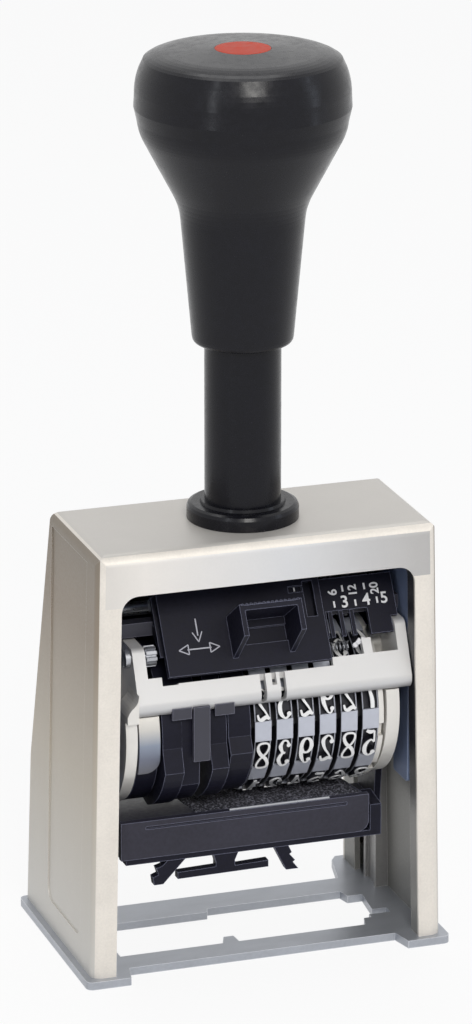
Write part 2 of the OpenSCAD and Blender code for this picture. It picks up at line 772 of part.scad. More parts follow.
// One leaf spring per wheel, from the detent bar to just over the rim
module detent_springs() color(steel) at_axis() {
    leaf_w = 1.6;
    leaf_t = 0.4;
    tip_y = detent_at.x + 3.6;
    reach = wheel_d / 2 + side_gap + 0.1;
    start = [detent_at.x + detent_w / 2, detent_at.y - detent_w / 2];
    tip = [tip_y, sqrt(reach * reach - tip_y * tip_y)];
    for (i = [1:wheel_count])
        across(wheel_x(i) - leaf_w / 2, wheel_x(i) + leaf_w / 2)
            polygon([start, tip, tip + [0.4, leaf_t], start + [0, leaf_t + 0.3]]);
}

// ---------------------------------------------------------------- type wheels

row_angle = 18.3;   // how far the front row of type stands below the axis

// Point of a wheel's outline; angles run down from the front
function rim_point(a, r) = [-r * cos(a), -r * sin(a)];

// Ten flat cells for the type with plain steps between them
function rim_outline(floor_r, step_r) =
    let (cell = asin(type_h / wheel_d), pitch = 360 / digits)
    [for (k = [0:digits - 1]) let (a = row_angle + k * pitch)
        each [rim_point(a - cell, floor_r / cos(cell)), rim_point(a + cell, floor_r / cos(cell)),
              rim_point(a + cell + 0.4, step_r), rim_point(a + pitch - cell - 0.4, step_r)]];

function ratchet_outline(r, depth) =
    [for (k = [0:digits - 1]) each [rim_point(k * 36, r), rim_point(k * 36 + 4, r - depth)]];

// One wheel: hub, rim with thin cell walls at both sides, ratchet on its left
module type_wheel(i) color(bright) at_axis() {
    r = wheel_d / 2;
    half = wheel_w / 2;
    lip_w = 0.2;
    translate([wheel_x(i), 0, 0]) difference() {
        union() {
            across(-half, half) polygon(rim_outline(r - type_depth, r - 0.4));
            bar(-half, -half + lip_w, r - 0.7);
            bar(half - lip_w, half, r - 0.7);
            across(-half - ratchet_t, -half + 0.1) polygon(ratchet_outline(r - 2.4, 1.5));
        }
        bar(-wide, wide, shaft_d / 2 + run_fit);
    }
}

module type_wheel_1() type_wheel(1);
module type_wheel_2() type_wheel(2);
module type_wheel_3() type_wheel(3);
module type_wheel_4() type_wheel(4);
module type_wheel_5() type_wheel(5);
module type_wheel_6() type_wheel(6);

module drive_ratchet() color(bright) at_axis() {
    outer = wheel_d / 2 - 0.4;
    across(ring_x, ring_x + ring_t)
        difference() {
            circle(outer);
            circle(shaft_d / 2 + run_fit);
            for (k = [0:digits - 1]) rotate(k * 360 / digits + 9)
                translate([outer - 1, -1.2]) square([2, 2.4]);
        }
}

// Stepped cam outline: base circle, raised front arc, ramp out to a ridge, long run-out
function cam_outline(front_r, ramp_a, ridge_a, ridge_r, end_a, end_r) =
    let (base = wheel_d / 2 - 0.8,
         polar = concat(
             [for (a = [-64:4:-24]) [a, base]],
             [for (t = [0:6]) [-20 + (ramp_a + 20) * t / 6, front_r]],
             [for (t = [0:8]) [ridge_a + (end_a - ridge_a) * t / 8, ridge_r + (end_r - ridge_r) * t / 8]],
             [for (a = [end_a + 8:6:290]) [a, base]]))
    [for (p = polar) rim_point(p[0], p[1])];

module repeat_cam(x0, x1, outline) {
    difference() {
        across(x0, x1) polygon(outline);
        bar(-wide, wide, shaft_d / 2 + run_fit);
    }
}

cam_front = wheel_d / 2 + 0.1;

module repeat_cam_1() color(black) at_axis() {
    repeat_cam(cam1_x, cam1_end, cam_outline(cam_front, 4, 17, cam_front + 2.1, 66, cam_front + 0.3));
    repeat_cam(cam1_end, narrow_cam_end, cam_outline(cam_front, 12, 29, cam_front + 1.5, 62, cam_front));
    difference() {
        bar(narrow_cam_end, cam2_x, shaft_d / 2 + 2.5);
        bar(-wide, wide, shaft_d / 2 + run_fit);
    }
}

module repeat_cam_2() color(black) at_axis()
    repeat_cam(cam2_x, cam2_end, cam_outline(cam_front, 4, 17, cam_front + 2.1, 62, cam_front));

module repeat_cam_3() color(black) at_axis() {
    repeat_cam(cam3_x, cam3_end, cam_outline(cam_front - 0.1, 1, 10, cam_front + 1.5, 60, cam_front - 0.5));
    difference() {
        bar(cam2_end, cam3_x, shaft_d / 2 + 2.5);
        bar(-wide, wide, shaft_d / 2 + run_fit);
    }
}

// ---------------------------------------------------------------- pawls

// Sleeve on the pawl shaft with one finger over each wheel
module pawl_comb() color(steel) at_axis() {
    sleeve = pawl_r + 1.1;
    finger = 1.6;
    tip = wheel_d / 2 + side_gap + 0.1 - pawl_at.y;
    difference() {
        union() {
            bar(wheel_x(1) - 1.5, wheel_x(wheel_count) + 1.5, sleeve, pawl_at);
            for (i = [1:wheel_count])
                across(wheel_x(i) - finger / 2, wheel_x(i) + finger / 2)
                    translate(pawl_at)
                        polygon([[-sleeve, 0], [-2.3, tip], [-1.2, tip + 0.1], [0, -sleeve + 0.4], [0, 0]]);
        }
        bar(-wide, wide, pawl_r + run_fit, pawl_at);
    }
}

module pawl_spring() color(steel) at_axis()
    difference() {
        bar(wheel_x(wheel_count) + 2, disc_end - 0.4, pawl_r + 0.8, pawl_at);
        bar(-wide, wide, pawl_r + run_fit, pawl_at);
    }

// ---------------------------------------------------------------- selector

module scale_plate() color(black) {
    comb_x = wheel_x(4) + 1.6;
    ear_t = 0.8;
    right = disc_end - 0.1;
    detent_front = axis_y + detent_at.x - detent_w / 2;
    detent_z = axis_z + detent_at.y;
    ear_s = 8;
    on_slope() {
        difference() {
            union() {
                block([cover_x - 0.5, 3.9, plate_n - scale_t], [right, scale_top, plate_n]);
                block([right - over, (arm_top - cover_z) / cos(cover_tilt) + 1.6, plate_n - scale_t],
                      [disc_end + 1.1, scale_top, plate_n]);
            }
            // comb window in the lower edge
            block([wheel_x(4) + 1.2, 3, plate_n - scale_t - over], [wheel_x(6) + 0.9, 8.5, plate_n + over]);
        }
        for (k = [0:2])
            block([comb_x + k * wheel_pitch / 2, 4, plate_n - scale_t],
                  [comb_x + k * wheel_pitch / 2 + 0.7, 8.6, plate_n - 0.2]);
    }
    // ears back to the detent bar
    at_press() for (x = [cover_x - 0.5, right - ear_t])
        across(x, x + ear_t)
            polygon([slope_point(ear_s - 3, plate_n - scale_t / 2), [detent_front, detent_z - 0.8],
                     [detent_front, detent_z + 0.8], slope_point(ear_s + 1, plate_n - scale_t / 2)]);
}

// Point of the selector slope in (y, z)
function slope_point(s, n) =
    [cover_y + s * sin(cover_tilt) - n * cos(cover_tilt), cover_z + s * cos(cover_tilt) + n * sin(cover_tilt)];

// Tongue that hangs from the bracket's rolled edge, shaped to it
module hanger(x0, x1, y0, y1, low) {
    across(x0, x1)
        difference() {
            translate([y0, low]) square([y1 - y0, lip.y - 0.6 - low]);
            polygon(concat([lip + [0, 1]], lip_arc(lip_r)));
        }
}

// Finger before the cams and two small ledges
module finger_stop() color(dark) at_press() {
    back = axis_y - wheel_d / 2 - 0.4;
    hanger(finger_end - finger_w, finger_end, back - 0.8, back, axis_z - 3.4);
    for (x = [cam1_end - 1.9, cam2_x + 0.7])
        hanger(x, x + 3.4, back - 0.5, back + 0.1, lip.y - 2.6);
}

spring_at = [2.7, plate_n - 1.6];

// Least distance from a coil's tube to its next turn
function coil_gap(path, steps, r) =
    min([for (i = [0:len(path) - 1 - steps], j = [i + steps - 2:min(i + steps + 2, len(path) - 1)])
        norm(path[j] - path[i])]) - 2 * r;

// Small coil behind the comb window
module index_spring() color(steel) on_slope() {
    wire_r = 0.11;
    coil_r = 0.75;
    turns = 5;
    steps = 8;
    length = 3.3;
    path = [for (i = [0:turns * steps])
        [wheel_x(4) + 1.5 + length * i / (turns * steps), spring_at.x + coil_r * cos(i * 360 / steps),
         spring_at.y + coil_r * sin(i * 360 / steps)]];
    echo(str("index_spring: least gap between turns ", coil_gap(path, steps, wire_r), " mm"));
    tube(path, wire_r);
}

module setting_pinion() color(steel) at_axis() {
    x0 = left_disc_end + left_bracket_t + 0.3;
    bar(left_disc_end - 0.3, x0, 0.8, pinion_at);
    translate([0, pinion_at.x, pinion_at.y])
        across(x0, x0 + 1.8)
            polygon([for (k = [0:9], step = [[-9, 0], [9, 0], [13, 0.5], [23, 0.5]])
                (pinion_r - step[1]) * [cos(k * 36 + step[0]), sin(k * 36 + step[0])]]);
}

module pivot_screw() color(steel) at_axis()
    difference() {
        bar(left_disc_end - 1.1, left_disc_end - 0.3, 1.6, pinion_at);
        block([left_disc_end - 2, pinion_at.x - 0.25, pinion_at.y - 3],
              [left_disc_end - 0.8, pinion_at.x + 0.25, pinion_at.y + 3]);
    }

// Flat rail on the back of the scale plate
module selector_rail() color(steel) on_slope()
    block([cover_x - 0.5, scale_top - rail_w, rail_n - rail_t], [disc_end - 0.3, scale_top, rail_n]);

// Cover with its finger grip, hooked over the rail from above
module selector_cover() color(black) on_slope() {
    hook = rail_n - rail_t - 0.3;
    hood_x = cover_x + cover_w / 2 + 2.7;
    hood_top = 9.2;
    rim = 0.9;
    x1 = cover_x + cover_w;
    difference() {
        block([cover_x, 0, -cover_t], [x1, cover_l, 0]);
        // slot beside the grip
        block([x1 - 3, 7.7, -cover_t - over], [x1 - 1.2, cover_l - 1.4, over]);
        // small marker window
        block([x1 - 5.6, 12.1, -0.5], [x1 - 3.1, 13.2, over]);
        // recess inside the grip
        block([hood_x - hood_w / 2 + 2.6, 4.1, -0.6], [hood_x + hood_w / 2 - 0.9, 6.9, over]);
    }
    block([cover_x, cover_l - 0.7, hook - 0.7], [x1, cover_l, -cover_t / 2]);
    block([cover_x, cover_l - 2.2, hook - 0.7], [x1, cover_l, hook]);
    // finger grip: two tapering cheeks and a top wall
    for (x = [hood_x - hood_w / 2, hood_x + hood_w / 2 - rim])
        translate([x, 0, 0]) rotate([90, 0, 90]) linear_extrude(rim)
            polygon([[2, -0.2], [hood_top, -0.2], [hood_top + 0.2, hood_h], [4, hood_h]]);
    block([hood_x - hood_w / 2, hood_top - rim, -0.2], [hood_x + hood_w / 2, hood_top, hood_h]);
}

// ---------------------------------------------------------------- ink pad

// Corner of the pad space: along the pad face and out from the wheel axis
function pad_point(along, out) = turn([along, -out], -pad_tilt);

module ink_pad() color(foam) at_axis()
    across(pad_x, pad_x + pad_l)
        polygon([pad_point(pad_front, pad_r), pad_point(pad_rear, pad_r),
                 pad_point(pad_rear, pad_r + pad_t), pad_point(pad_front, pad_r + pad_t)]);

module pad_cassette() color(black) at_axis() {
    front = cassette_y - axis_y;
    low = cassette_z - axis_z;
    rear = cassette_rear - axis_y;
    top = low + cassette_h;
    skin = 1.2;
    tray = [[front, low], [rear, low], [rear, pad_point(pad_rear, pad_r + 0.4).y],
            pad_point(pad_rear + 0.2, pad_r + 0.4), pad_point(pad_rear + 0.2, pad_r + pad_t),
            pad_point(pad_front - 0.2, pad_r + pad_t), [pad_point(pad_front - 0.2, pad_r).x, top], [front, top]];
    filled = [[front, low], [rear, low], [rear, pad_point(pad_rear, pad_r + 0.4).y],
              pad_point(pad_rear, pad_r + 0.3), pad_point(pad_front, pad_r + 0.3),
              [front + skin, top], [front, top]];
    difference() {
        union() {
            across(cassette_x, cassette_end) polygon(tray);
            across(cassette_x, pad_x - 0.2) polygon(filled);
            across(pad_x + pad_l + 0.1, cassette_end) polygon(filled);
            block([left_arm_x, front, low], [cassette_x + over, front + skin, top]);
        }
        // groove along the top of the front panel
        block([cassette_x + 3.4, front - over, top - 1.5], [cassette_end - 4, front + 0.4, top - 1.0]);
        // rounded lower right corner of the front
        through(front - over, front + 3)
            difference() {
                translate([cassette_end - 2, low - over]) square([2 + over, 2 + over]);
                translate([cassette_end - 2, low + 2]) circle(2);
            }
    }
}

// Tray that carries the cassette between the swing arms
module pad_holder() color(black) at_axis() {
    front = cassette_y - axis_y;
    low = cassette_z - axis_z;
    rear = cassette_rear - axis_y;
    block([holder_x, front + 0.2, low - holder_t], [holder_end, rear, low]);
    block([holder_x, rear - 8, low - holder_t], [right_arm_x, rear, low]);
    // cheek at the right end of the cassette
    across(cassette_end + 0.3, holder_end)
        polygon([[front + 0.2, low - 0.1], [front + 4, low - 0.1],
                 [front + 5.5, low + 5.4], [front + 0.2, low + 4.6]]);
}

module pad_arm(x0, x1) {
    low = cassette_z - axis_z - holder_t;
    rear = cassette_rear - axis_y;
    across(x0, x1)
        difference() {
            union() {
                circle(shaft_d / 2 + 2);
                polygon([[-shaft_d / 2 - 1.8, -1], [rear - 8, low], [rear, low], [shaft_d / 2 + 1.8, -0.5]]);
            }
            circle(shaft_d / 2 + run_fit);
        }
}

module pad_arm_left() color(black) at_axis() pad_arm(left_arm_x, holder_x);
module pad_arm_right() color(black) at_axis() pad_arm(right_arm_x, right_arm_x + arm_t);

// Squeeze clip under the tray: a T bar and two ribbed hooks
module cassette_clip() color(black) at_axis() {
    low = cassette_z - axis_z - holder_t;
    front = cassette_y - axis_y;
    thick = 1.6;
    stem = pad_x + 4.2;
    through(front + 0.3, front + 0.3 + thick)
        union() {
            polygon([[stem - 2.2, low], [stem + 2.2, low], [stem + 1.6, low - 1.4], [stem + 1.6, low - 2.4],
                     [stem + 7.6, low - 2.2], [stem + 7.6, low - 3.4],
                     [stem - 8.6, low - 3.6], [stem - 8.6, low - 2.4],
                     [stem - 1.8, low - 2.2], [stem - 1.8, low - 1.4]]);
            polygon([[stem - 10.4, low], [stem - 7.2, low], [stem - 11.2, low - 4.2], [stem - 12.8, low - 4.2],
                     [stem - 13, low - 2.8], [stem - 12, low - 2.4],
                     [stem - 12.4, low - 1.2], [stem - 11.4, low - 0.9]]);
            polygon([[stem + 8.6, low], [stem + 11.2, low], [stem + 11.8, low - 1.3], [stem + 11.4, low - 1.6],
                     [stem + 12.4, low - 2.8], [stem + 12, low - 3.1],
                     [stem + 13, low - 4.4], [stem + 10.8, low - 4.4]]);
        }
}

housing_shell();
base_plate();
base_rivets();
guide_column();
column_nut();
guide_channel_left();
guide_channel_right();
return_spring();
handle_grip();
handle_inlay();
press_rod();
rod_nut();
yoke();
guide_shoe_left();
guide_shoe_right();
side_disc_left();
side_disc_right();
front_bracket();
bracket_screws();
drum_cover();
drum_core();
wheel_shaft();
shaft_rings();
tie_bar();
detent_bar();
detent_springs();
scale_plate();
finger_stop();
index_spring();
setting_pinion();
pivot_screw();
repeat_cam_1();
repeat_cam_2();
repeat_cam_3();
drive_ratchet();
type_wheel_1();
type_wheel_2();
type_wheel_3();
type_wheel_4();
type_wheel_5();
type_wheel_6();
pawl_shaft();
pawl_comb();
pawl_spring();
selector_rail();
selector_cover();
pad_holder();
pad_arm_left();
pad_arm_right();
pad_cassette();
cassette_clip();
ink_pad();
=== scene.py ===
import json
import math

import bmesh
import bpy
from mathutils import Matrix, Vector, noise


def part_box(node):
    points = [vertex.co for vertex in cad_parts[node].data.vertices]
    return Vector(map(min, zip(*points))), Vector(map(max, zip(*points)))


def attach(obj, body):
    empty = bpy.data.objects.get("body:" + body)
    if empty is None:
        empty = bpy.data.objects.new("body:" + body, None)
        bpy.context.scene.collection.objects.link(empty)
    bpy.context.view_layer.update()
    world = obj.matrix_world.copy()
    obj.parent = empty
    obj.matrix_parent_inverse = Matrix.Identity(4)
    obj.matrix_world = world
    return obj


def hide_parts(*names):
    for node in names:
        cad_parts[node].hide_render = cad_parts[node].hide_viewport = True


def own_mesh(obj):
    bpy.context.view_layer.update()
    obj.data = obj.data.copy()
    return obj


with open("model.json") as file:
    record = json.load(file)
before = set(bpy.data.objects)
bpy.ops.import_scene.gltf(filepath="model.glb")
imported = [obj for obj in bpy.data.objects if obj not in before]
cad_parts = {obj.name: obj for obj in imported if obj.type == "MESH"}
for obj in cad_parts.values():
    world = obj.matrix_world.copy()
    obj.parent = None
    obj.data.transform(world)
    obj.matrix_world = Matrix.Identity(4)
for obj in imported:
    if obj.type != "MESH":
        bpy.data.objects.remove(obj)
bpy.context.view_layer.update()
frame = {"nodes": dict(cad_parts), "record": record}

# ------------------------------------------------------------------ places, in millimetres
# y is measured from the press axis, as in the part's source; PRESS_Y moves it to the row frame.
MM = 0.001
PRESS_Y = -3.775
AXIS_Y, AXIS_Z = 3.0, 41.6  # wheel shaft
COVER_Y, COVER_Z, COVER_TILT = -12.5, 53.5, math.radians(32)  # foot of the selector's slope
WHEEL_R = 15.0
WHEEL_1_X, WHEEL_STEP = -0.2, 3.86
DIGIT_STEP = 36.0  # degrees from one digit to the next
ROW_ANGLE = 18.3  # degrees from straight ahead down to the front row


def at(x, y, z):
    return Vector((x * MM, (y + PRESS_Y) * MM, z * MM))


def on_slope(x, s, n):
    """Point of the selector's slope: s up the slope, n off the cover's face."""
    c, k = math.cos(COVER_TILT), math.sin(COVER_TILT)
    return at(x, COVER_Y + s * k - n * c, COVER_Z + s * c + n * k)


def on_rim(x, angle, r):
    """Point over the wheels' rim, angle in degrees down from the front."""
    a = math.radians(angle)
    return at(x, AXIS_Y - r * math.cos(a), AXIS_Z - r * math.sin(a))


def wheel_x(i):
    return WHEEL_1_X + WHEEL_STEP * (i - 1)


# ------------------------------------------------------------------ camera
CAMERA_PLACE = (-0.277296, -0.819884, 0.361678)
CAMERA_LOOK = (0.304295, 0.899446, -0.313714)
CAMERA_LENS = 189.33

camera = bpy.data.objects.new("camera", bpy.data.cameras.new("camera"))
bpy.context.scene.collection.objects.link(camera)
camera.data.sensor_width = 36
camera.data.lens = CAMERA_LENS
camera.data.clip_start = 0.05
camera.data.clip_end = 20
camera.location = CAMERA_PLACE
camera.rotation_euler = Vector(CAMERA_LOOK).to_track_quat("-Z", "Y").to_euler()
bpy.context.scene.camera = camera


# ------------------------------------------------------------------ materials
def new_material(name):
    m = bpy.data.materials.new(name)
    m.use_nodes = True
    return m, m.node_tree.nodes, m.node_tree.links, m.node_tree.nodes["Principled BSDF"]


def add(nodes, kind, **values):
    n = nodes.new(kind)
    for k, v in values.items():
        if k.startswith("in_"):
            n.inputs[k[3:].replace("_", " ")].default_value = v
        else:
            setattr(n, k, v)
    return n


def ramp(nodes, links, value, stops):
    """Colour that runs through the stops (position, colour) as value goes from 0 to 1."""
    n = nodes.new("ShaderNodeValToRGB")
    e = n.color_ramp.elements
    while len(e) < len(stops):
        e.new(0.5)
    for element, (position, colour) in zip(e, stops):
        element.position = position
        element.color = (*colour, 1)
    links.new(value, n.inputs[0])
    return n.outputs[0]


def map_range(nodes, links, value, low, high, to_low=0.0, to_high=1.0):
    n = add(nodes, "ShaderNodeMapRange", in_From_Min=low, in_From_Max=high, in_To_Min=to_low, in_To_Max=to_high)
    links.new(value, n.inputs["Value"])
    return n.outputs[0]


def mix(nodes, links, factor, a, b):
    n = nodes.new("ShaderNodeMix")
    n.data_type = "RGBA"
    for socket, value in ((n.inputs["Factor"], factor), (n.inputs["A"], a), (n.inputs["B"], b)):
        if isinstance(value, (int, float)):
            socket.default_value = value
        elif isinstance(value, tuple):
            socket.default_value = (*value, 1)
        else:
            links.new(value, socket)
    return n.outputs["Result"]


def maths(nodes, links, operation, a, b=0.0, c=None, clamp=False):
    n = nodes.new("ShaderNodeMath")
    n.operation = operation
    n.use_clamp = clamp
    for i, value in enumerate((a, b) if c is None else (a, b, c)):
        if isinstance(value, (int, float)):
            n.inputs[i].default_value = value
        else:
            links.new(value, n.inputs[i])
    return n.outputs[0]


def edge_highlight_mask(nodes, links, radius, gain):
    """1 along the edges of the shape, 0 on its faces."""
    bevel = add(nodes, "ShaderNodeBevel", samples=4, in_Radius=radius)
    geometry = nodes.new("ShaderNodeNewGeometry")
    dot = add(nodes, "ShaderNodeVectorMath", operation="DOT_PRODUCT")
    links.new(bevel.outputs[0], dot.inputs[0])
    links.new(geometry.outputs["Normal"], dot.inputs[1])
    away = maths(nodes, links, "SUBTRACT", 1.0, dot.outputs["Value"])
    return maths(nodes, links, "MULTIPLY", away, gain, clamp=True)


def finish(name, base, metallic, rough, grain=900, spread=0.12, rough_spread=0.08, bump=0.08,
           bump_scale=1400, stretch=(1, 1, 1), edge=None, edge_r=0.00018, edge_gain=6.0,
           recolour=None, specular=0.5):
    """Material with colour variation, uneven gloss, fine relief and, where asked, painted highlights of another
    colour along its edges.
    recolour(nodes, links, place, colour) may repaint the colour by place on the object."""
    m, nodes, links, bsdf = new_material(name)
    place = nodes.new("ShaderNodeTexCoord")
    mapping = nodes.new("ShaderNodeMapping")
    mapping.inputs["Scale"].default_value = stretch
    links.new(place.outputs["Object"], mapping.inputs["Vector"])
    cloud = add(nodes, "ShaderNodeTexNoise", in_Scale=grain * 0.06, in_Detail=3.0, in_Roughness=0.55)
    fine = add(nodes, "ShaderNodeTexNoise", in_Scale=float(grain), in_Detail=4.0, in_Roughness=0.65)
    relief = add(nodes, "ShaderNodeTexNoise", in_Scale=float(bump_scale), in_Detail=3.0, in_Roughness=0.6)
    for n in (cloud, fine, relief):
        links.new(mapping.outputs[0], n.inputs["Vector"])
    both = maths(nodes, links, "ADD", maths(nodes, links, "MULTIPLY", cloud.outputs["Fac"], 0.5),
                 maths(nodes, links, "MULTIPLY", fine.outputs["Fac"], 0.5))
    dark = tuple(c * (1 - spread) for c in base)
    light = tuple(min(1.0, c * (1 + spread)) for c in base)
    colour = ramp(nodes, links, both, [(0.3, dark), (0.7, light)])
    if recolour:
        colour = recolour(nodes, links, place, colour)
    if edge:
        colour = mix(nodes, links, edge_highlight_mask(nodes, links, edge_r, edge_gain), colour, edge)
    links.new(colour, bsdf.inputs["Base Color"])
    gloss = map_range(nodes, links, fine.outputs["Fac"], 0.3, 0.7,
                      max(0.02, rough - rough_spread), min(1.0, rough + rough_spread))
    links.new(gloss, bsdf.inputs["Roughness"])
    lift = add(nodes, "ShaderNodeBump", in_Strength=bump, in_Distance=0.0001)
    links.new(relief.outputs["Fac"], lift.inputs["Height"])
    links.new(lift.outputs[0], bsdf.inputs["Normal"])
    bsdf.inputs["Metallic"].default_value = metallic
    bsdf.inputs["Specular IOR Level"].default_value = specular
    return m


def separate(nodes, links, place):
    n = nodes.new("ShaderNodeSeparateXYZ")
    links.new(place.outputs["Object"], n.inputs[0])
    return n.outputs


# The housing's faces, in millimetres. The side walls lean in by SIDE_LEAN for each unit of height;
# the rear leans by FOOT_LEAN up to the knee at KNEE_Y, KNEE_Z, and by REAR_LEAN above it.
SIDE_LEAN, INNER_HALF, PANEL_HALF = 0.02203, 30.90, 31.00
KNEE_Y, KNEE_Z, FOOT_LEAN, REAR_LEAN, REAR_WALL = 23.4, 28.7, 0.0348, 0.2164, 0.6
FOOT_REAR_Y = 24.4
CEILING_Z, ROOF_Z, HEADER_Z = 75.7, 76.0, 67.2
INNER_FRONT_Y, PANEL_FRONT_Y, HEADER_Y = -13.4, -13.6, -13.9
HEADER_HALF = 31.25
SHARE_OF_HEIGHT = 13.1  # for each metre up


def housing_painted_light(nodes, links, place, colour):
    """Satin plate outside, with painted light: taupe painted shade high on the sides, a cooler painted
    reflection on the header, beige grey painted shade on the roof and dark painted shade inside.
    """
    def calc(operation, a, b=0.0, c=None, clamp=False):
        return maths(nodes, links, operation, a, b, c, clamp)

    x, y, z = separate(nodes, links, place)
    off_centre = calc("ABSOLUTE", x)
    # inside the sheet: clear of the leaning side walls, the front, the top and the rear
    in_x = calc("LESS_THAN", off_centre, calc("MULTIPLY_ADD", z, -SIDE_LEAN, INNER_HALF * MM))
    in_front = calc("GREATER_THAN", y, (INNER_FRONT_Y + PRESS_Y) * MM)
    in_top = calc("LESS_THAN", z, CEILING_Z * MM)
    upper = calc("MULTIPLY_ADD", z, -REAR_LEAN, (KNEE_Y + PRESS_Y + KNEE_Z * REAR_LEAN - REAR_WALL) * MM)
    lower = calc("MULTIPLY_ADD", z, -FOOT_LEAN, (FOOT_REAR_Y - REAR_WALL + PRESS_Y) * MM)
    in_rear = calc("LESS_THAN", y, calc("MINIMUM", upper, lower))
    inside = calc("MULTIPLY", calc("MULTIPLY", in_x, in_front), calc("MULTIPLY", in_top, in_rear))
    # the sides: painted shade, taupe high up, paler towards the foot
    height = calc("MULTIPLY", z, SHARE_OF_HEIGHT, clamp=True)
    side = calc("MULTIPLY",
                calc("GREATER_THAN", off_centre, calc("MULTIPLY_ADD", z, -SIDE_LEAN, PANEL_HALF * MM)),
                calc("GREATER_THAN", y, (PANEL_FRONT_Y + PRESS_Y) * MM))
    side_painted_shade = ramp(nodes, links, height, [(0.0, (0.62, 0.61, 0.58)), (0.45, (0.46, 0.41, 0.33)),
                                        (0.8, (0.22, 0.165, 0.11)), (1.0, (0.15, 0.115, 0.075))])
    colour = mix(nodes, links, calc("MULTIPLY", side, 0.85), colour, side_painted_shade)
    # the header: painted reflection, cooler, from pale at the left to grey at the right
    header = calc("MULTIPLY", calc("GREATER_THAN", z, HEADER_Z * MM),
                  calc("LESS_THAN", y, (HEADER_Y + PRESS_Y) * MM))
    across = calc("MULTIPLY_ADD", x, 0.5 / (HEADER_HALF * MM), 0.5, clamp=True)
    header_painted_reflection = ramp(nodes, links, across, [(0.0, (0.62, 0.60, 0.57)), (0.15, (0.82, 0.79, 0.76)),
                                       (0.55, (0.64, 0.665, 0.71)), (0.92, (0.36, 0.365, 0.38))])
    colour = mix(nodes, links, calc("MULTIPLY", header, 0.7), colour, header_painted_reflection)
    # the roof: painted shade, beige grey
    roof = calc("GREATER_THAN", z, ROOF_Z * MM)
    colour = mix(nodes, links, calc("MULTIPLY", roof, 0.8), colour, (0.56, 0.54, 0.51))
    # inside: painted shade, dark, greyer down the legs
    inside_painted_shade = ramp(nodes, links, height, [(0.30, (0.24, 0.235, 0.22)), (0.48, (0.02, 0.02, 0.025))])
    return mix(nodes, links, inside, colour, inside_painted_shade)


def by_radius(inked, low, high):
    """Recolour that is inked below radius low about the wheels' axis, and keeps its colour above high."""
    def recolour(nodes, links, place, colour):
        _, y, z = separate(nodes, links, place)
        dy = maths(nodes, links, "SUBTRACT", y, (AXIS_Y + PRESS_Y) * MM)
        dz = maths(nodes, links, "SUBTRACT", z, AXIS_Z * MM)
        square = maths(nodes, links, "ADD", maths(nodes, links, "MULTIPLY", dy, dy),
                       maths(nodes, links, "MULTIPLY", dz, dz))
        bright = map_range(nodes, links, maths(nodes, links, "SQRT", square), low * MM, high * MM)
        return mix(nodes, links, bright, inked, colour)
    return recolour


def by_height(share, low, high, stops):
    """Recolour with share of a band that runs through the stops from height low to high."""
    def recolour(nodes, links, place, colour):
        z = separate(nodes, links, place)[2]
        band = ramp(nodes, links, map_range(nodes, links, z, low * MM, high * MM), stops)
        return mix(nodes, links, share, colour, band)
    return recolour


def foam_colour(nodes, links, place, colour):
    """Dark foam with pale specks between its pores."""
    pores = add(nodes, "ShaderNodeTexVoronoi", in_Scale=2600.0)
    links.new(place.outputs["Object"], pores.inputs["Vector"])
    specks = ramp(nodes, links, pores.outputs["Distance"],
                  [(0.0, (0.006, 0.006, 0.009)), (0.5, (0.02, 0.02, 0.028)), (0.8, (0.30, 0.30, 0.36))])
    return mix(nodes, links, 0.8, colour, specks)


# Bright rim and steps of a wheel, ink-dark cell floors and hub
wheel_colour = by_radius((0.018, 0.018, 0.024), 14.10, 14.40)
# Bright type faces on inked flanks
type_colour = by_radius((0.012, 0.012, 0.018), 14.80, 14.95)
# Painted shade on the cross bar: cream face, greyer where its lower edge rolls under
bar_painted_shade = by_height(0.8, 46.4, 49.2, [(0.0, (0.14, 0.14, 0.15)), (0.35, (0.38, 0.38, 0.39)),
                                         (0.6, (0.58, 0.58, 0.59)), (1.0, (0.70, 0.69, 0.68))])
# Drum: painted reflection, cream above, blue and dark below
drum_painted_reflection = by_height(0.85, 36.2, 46.4, [(0.0, (0.02, 0.025, 0.05)), (0.28, (0.05, 0.07, 0.14)),
                                           (0.52, (0.17, 0.22, 0.32)), (0.8, (0.62, 0.60, 0.56)),
                                           (1.0, (0.80, 0.77, 0.71))])


# Painted highlight along the black plastic parts' edges
EDGE_HIGHLIGHT = (0.22, 0.23, 0.32)
